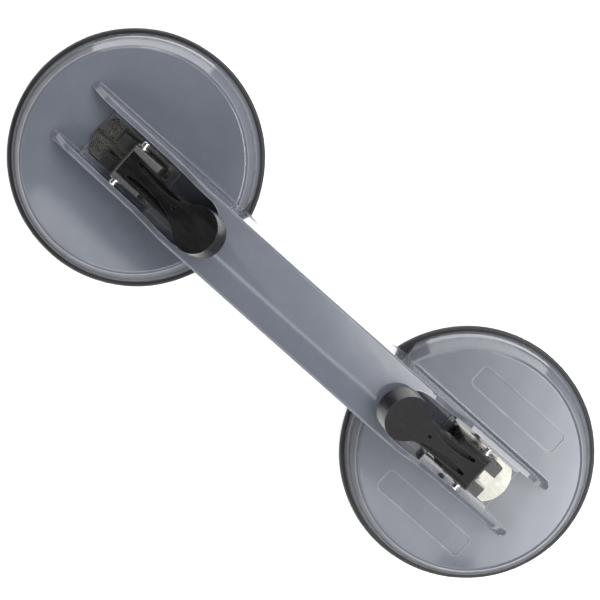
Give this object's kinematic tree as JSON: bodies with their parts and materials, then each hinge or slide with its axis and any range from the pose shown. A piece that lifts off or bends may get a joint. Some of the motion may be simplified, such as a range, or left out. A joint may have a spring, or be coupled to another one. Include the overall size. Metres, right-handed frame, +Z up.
{
  "type": "double vacuum suction lifter",
  "caption": "Hand-operated vacuum lifter: two rubber suction cups under round cast dishes, joined by an arched handle, each with a folding cam lever.",
  "frame": {"origin": "midway between the two cups, on the flat surface that their rims rest on", "axes": "+X along the handle from the left cup to the right cup, +Y across the handle, +Z up away from the surface"},
  "size_m": [0.328, 0.12, 0.0782],
  "materials": {
    "body_paint": "gloss",
    "rubber": "matte",
    "plated_steel": "polished",
    "bright_steel": "satin",
    "spring_steel": "satin",
    "bronze": "satin",
    "black_plastic": "satin"
  },
  "bodies": {
    "casting": {"body": "body_paint", "left_rubber_cup": "rubber", "left_guide_bush": "bronze", "left_spring_washer": "plated_steel", "left_return_spring": "spring_steel", "left_wear_plate": "plated_steel", "right_rubber_cup": "rubber", "right_guide_bush": "bronze", "right_spring_washer": "plated_steel", "right_return_spring": "spring_steel", "right_wear_plate": "plated_steel"},
    "left_plunger": {"left_core_plate": "plated_steel", "left_stem": "bright_steel", "left_pivot_pin": "bright_steel", "left_pin_clips": "spring_steel"},
    "left_lever": {"left_lever": "black_plastic"},
    "right_plunger": {"right_core_plate": "plated_steel", "right_stem": "bright_steel", "right_pivot_pin": "bright_steel", "right_pin_clips": "spring_steel"},
    "right_lever": {"right_lever": "black_plastic"}
  },
  "joints": [
    {"name": "left_plunger_slide", "type": "slide", "parent": "casting", "child": "left_plunger", "axis": [0, 0, -1], "range_m": [0, 0.0095], "deforming": ["left_return_spring", "left_rubber_cup"]},
    {"name": "left_lever_hinge", "type": "hinge", "parent": "left_plunger", "child": "left_lever", "pos_m": [-0.104, 0, 0.0445], "axis": [0, -1, 0], "range_deg": [0, 100]},
    {"name": "right_plunger_slide", "type": "slide", "parent": "casting", "child": "right_plunger", "axis": [0, 0, -1], "range_m": [0, 0.0095], "deforming": ["right_return_spring", "right_rubber_cup"]},
    {"name": "right_lever_hinge", "type": "hinge", "parent": "right_plunger", "child": "right_lever", "pos_m": [0.104, 0, 0.0445], "axis": [0, 1, 0], "range_deg": [0, 100]}
  ],
  "couplings": [
    {"joint": "left_plunger_slide", "follows": "left_lever_hinge", "m_per_rad": 0.005443},
    {"joint": "right_plunger_slide", "follows": "right_lever_hinge", "m_per_rad": 0.005443}
  ]
}
